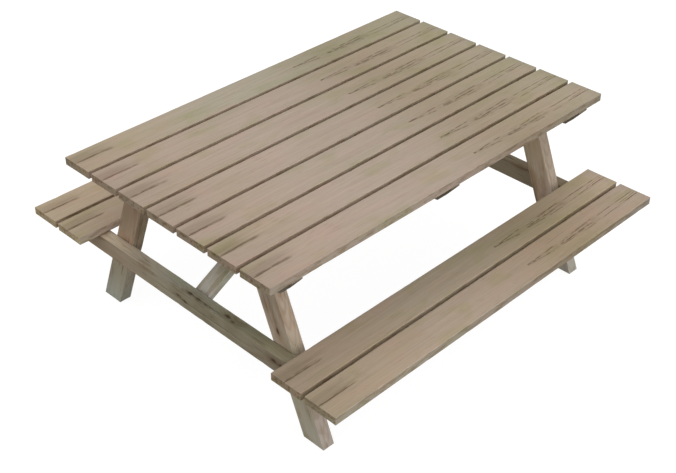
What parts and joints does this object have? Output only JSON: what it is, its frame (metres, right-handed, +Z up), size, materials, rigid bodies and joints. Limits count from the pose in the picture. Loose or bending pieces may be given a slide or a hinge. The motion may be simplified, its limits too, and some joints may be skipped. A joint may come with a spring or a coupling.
{
  "type": "picnic table",
  "caption": "Timber picnic table with an attached bench along each side, splayed legs at both ends and sloping braces under the slatted top.",
  "frame": {"origin": "on the ground, under the middle of the table top", "axes": "+X along the boards to the right-hand end, -Y to the front bench, +Z up"},
  "size_m": [1.8, 1.703, 0.755],
  "materials": {
    "top_boards": "weathered planed softwood, matt",
    "seat_boards": "weathered planed softwood, matt",
    "frame_timber": "weathered planed softwood, darker and greener than the boards, matt",
    "fixings": "zinc-plated steel, dulled"
  },
  "bodies": {
    "root": {"top_board_1": "top_boards", "top_board_2": "top_boards", "top_board_3": "top_boards", "top_board_4": "top_boards", "top_board_5": "top_boards", "top_board_6": "top_boards", "top_board_7": "top_boards", "bench_front_inner_board": "seat_boards", "bench_front_outer_board": "seat_boards", "bench_rear_inner_board": "seat_boards", "bench_rear_outer_board": "seat_boards", "leg_left_front": "frame_timber", "leg_left_rear": "frame_timber", "leg_right_front": "frame_timber", "leg_right_rear": "frame_timber", "seat_bearer_left": "frame_timber", "seat_bearer_right": "frame_timber", "top_bearer_left": "frame_timber", "top_bearer_right": "frame_timber", "top_batten_middle": "frame_timber", "brace_left": "frame_timber", "brace_right": "frame_timber", "left_front_seat_lower_coach_screw": "fixings", "left_front_seat_lower_washer": "fixings", "left_front_seat_upper_coach_screw": "fixings", "left_front_seat_upper_washer": "fixings", "left_front_top_lower_coach_screw": "fixings", "left_front_top_lower_washer": "fixings", "left_front_top_upper_coach_screw": "fixings", "left_front_top_upper_washer": "fixings", "left_rear_seat_lower_coach_screw": "fixings", "left_rear_seat_lower_washer": "fixings", "left_rear_seat_upper_coach_screw": "fixings", "left_rear_seat_upper_washer": "fixings", "left_rear_top_lower_coach_screw": "fixings", "left_rear_top_lower_washer": "fixings", "left_rear_top_upper_coach_screw": "fixings", "left_rear_top_upper_washer": "fixings", "right_front_seat_lower_coach_screw": "fixings", "right_front_seat_lower_washer": "fixings", "right_front_seat_upper_coach_screw": "fixings", "right_front_seat_upper_washer": "fixings", "right_front_top_lower_coach_screw": "fixings", "right_front_top_lower_washer": "fixings", "right_front_top_upper_coach_screw": "fixings", "right_front_top_upper_washer": "fixings", "right_rear_seat_lower_coach_screw": "fixings", "right_rear_seat_lower_washer": "fixings", "right_rear_seat_upper_coach_screw": "fixings", "right_rear_seat_upper_washer": "fixings", "right_rear_top_lower_coach_screw": "fixings", "right_rear_top_lower_washer": "fixings", "right_rear_top_upper_coach_screw": "fixings", "right_rear_top_upper_washer": "fixings", "brace_left_foot_screw": "fixings", "brace_left_head_screw": "fixings", "brace_right_foot_screw": "fixings", "brace_right_head_screw": "fixings"}
  },
  "joints": []
}
